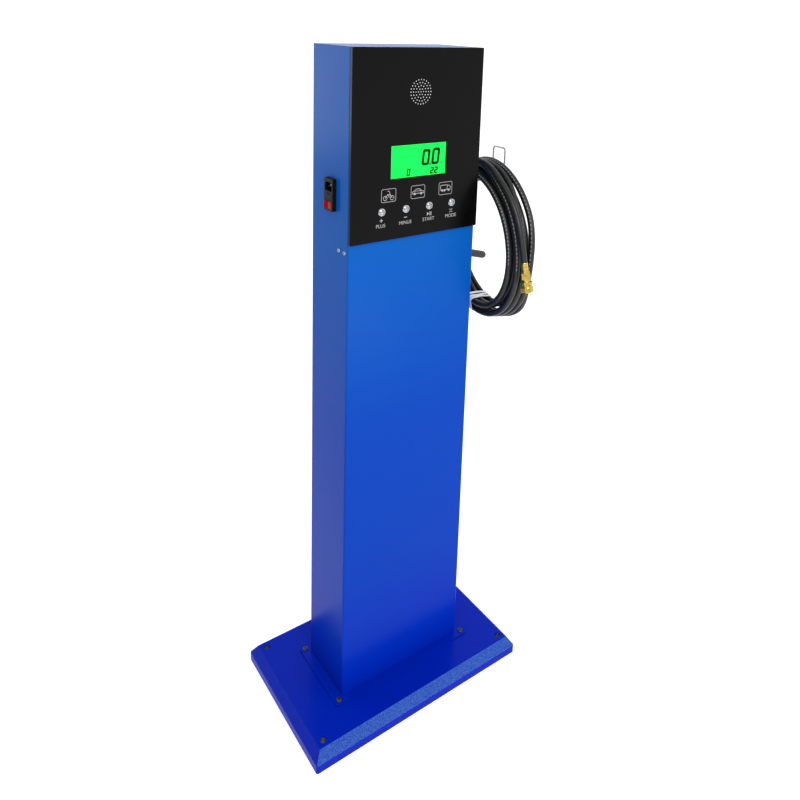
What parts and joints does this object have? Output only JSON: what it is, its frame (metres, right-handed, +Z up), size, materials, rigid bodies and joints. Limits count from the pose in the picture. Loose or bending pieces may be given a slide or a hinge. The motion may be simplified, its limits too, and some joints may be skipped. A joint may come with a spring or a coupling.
{
  "type": "tyre inflator with gauge",
  "caption": "Free-standing tyre inflator column on a wide plinth: digital pressure display, push keys, mains inlet, and an air hose with a quick coupling hung in a coil on a side hook.",
  "frame": {"origin": "centre of the base's footprint, on the floor", "axes": "+Z up, -Y the way the display faces, +X towards the hose hook"},
  "size_m": [0.494, 0.3614, 1.336],
  "materials": {
    "blue_paint": "glossy fine-textured powder coat",
    "black_acrylic": "polished back-printed acrylic",
    "display_glass": "clear window",
    "display_body": "green backlit display",
    "chrome": "polished",
    "bright_steel": "nickel plated",
    "zinc_steel": "zinc plated",
    "black_steel": "black oxide",
    "black_plastic": "moulded",
    "red_plastic": "moulded",
    "fuse_glass": "clear tube with metal caps",
    "circuit_board": "solder mask",
    "grey_ribbon": "moulded",
    "cream_plastic": "moulded",
    "aluminium": "machined and sheet",
    "blue_tube": "polyurethane tube",
    "brass": "machined",
    "black_rubber": "smooth extruded cover",
    "grey_rubber": "moulded",
    "clear_strap": "translucent strap"
  },
  "bodies": {
    "pedestal": {"base_plinth": "blue_paint", "base_stiffeners": "blue_paint", "column_flange": "blue_paint", "column_shell": "blue_paint", "hinge_posts": "blue_paint", "fascia_panel": "black_acrylic", "lcd_window": "display_glass", "lcd_module": "display_body", "button_barrels": "bright_steel", "anchor_tubes": "zinc_steel", "flange_nuts": "zinc_steel", "fascia_studs": "zinc_steel", "button_nuts": "zinc_steel", "inlet_pins": "zinc_steel", "side_screws": "zinc_steel", "mounting_plate": "zinc_steel", "hose_hook": "zinc_steel", "hook_screws": "zinc_steel", "rest_peg": "zinc_steel", "rest_peg_nut": "zinc_steel", "outlet_nut": "zinc_steel", "board_standoffs": "zinc_steel", "flange_screws": "black_steel", "speaker_driver": "black_steel", "power_inlet_housing": "black_plastic", "solenoid_coils": "black_plastic", "button_board": "circuit_board", "main_board": "circuit_board", "ribbon_cable": "grey_ribbon", "terminal_block": "cream_plastic", "power_supply": "aluminium", "valve_manifold": "aluminium", "air_filter": "aluminium", "outlet_elbow": "aluminium", "outlet_ferrule": "aluminium", "pressure_sensor": "aluminium", "air_tubes": "blue_tube", "exhaust_muffler": "brass", "supply_inlet": "brass", "hose_ferrule": "brass", "hose_connector": "brass", "hose_lead": "black_rubber", "hose_coil": "black_rubber", "hose_tail": "black_rubber", "rest_peg_cap": "grey_rubber", "tie_wrap": "clear_strap"},
    "door": {"rear_door": "blue_paint", "hinge_sleeves": "blue_paint", "lock_housing": "bright_steel", "lock_nut": "zinc_steel"},
    "door_lock": {"lock_plug": "bright_steel", "lock_cam": "zinc_steel"},
    "increase_key": {"increase_button": "chrome"},
    "reduce_key": {"reduce_button": "chrome"},
    "start_key": {"start_button": "chrome"},
    "unit_key": {"unit_button": "chrome"},
    "fuse_holder": {"fuse_drawer": "black_plastic", "fuse_link": "fuse_glass"},
    "rocker": {"power_rocker": "red_plastic"},
    "sleeve": {"coupling_sleeve": "brass"}
  },
  "joints": [
    {"name": "door_hinge", "type": "hinge", "parent": "pedestal", "child": "door", "pos_m": [0.141, 0.0745, 0.735], "axis": [0, 0, -1], "range_deg": [0, 105]},
    {"name": "lock_turn", "type": "hinge", "parent": "door", "child": "door_lock", "pos_m": [-0.106, 0.0704, 0.735], "axis": [0, 1, 0], "range_deg": [0, 90]},
    {"name": "increase_press", "type": "slide", "parent": "pedestal", "child": "increase_key", "axis": [0, 1, 0], "range_m": [0, 0.0012], "stiffness_N_per_m": 2000, "springref_m": -0.0004},
    {"name": "reduce_press", "type": "slide", "parent": "pedestal", "child": "reduce_key", "axis": [0, 1, 0], "range_m": [0, 0.0012], "stiffness_N_per_m": 2000, "springref_m": -0.0004},
    {"name": "start_press", "type": "slide", "parent": "pedestal", "child": "start_key", "axis": [0, 1, 0], "range_m": [0, 0.0012], "stiffness_N_per_m": 2000, "springref_m": -0.0004},
    {"name": "unit_press", "type": "slide", "parent": "pedestal", "child": "unit_key", "axis": [0, 1, 0], "range_m": [0, 0.0012], "stiffness_N_per_m": 2000, "springref_m": -0.0004},
    {"name": "fuse_slide", "type": "slide", "parent": "pedestal", "child": "fuse_holder", "axis": [-1, 0, 0], "range_m": [0, 0.018]},
    {"name": "rocker_tip", "type": "hinge", "parent": "pedestal", "child": "rocker", "pos_m": [-0.151, -0.0085, 1.0485], "axis": [0, 0, 1], "range_deg": [-16, 0]},
    {"name": "sleeve_pull", "type": "slide", "parent": "pedestal", "child": "sleeve", "axis": [0, 0.2334, 0.9724], "range_m": [0, 0.004], "stiffness_N_per_m": 1500, "springref_m": -0.001}
  ]
}
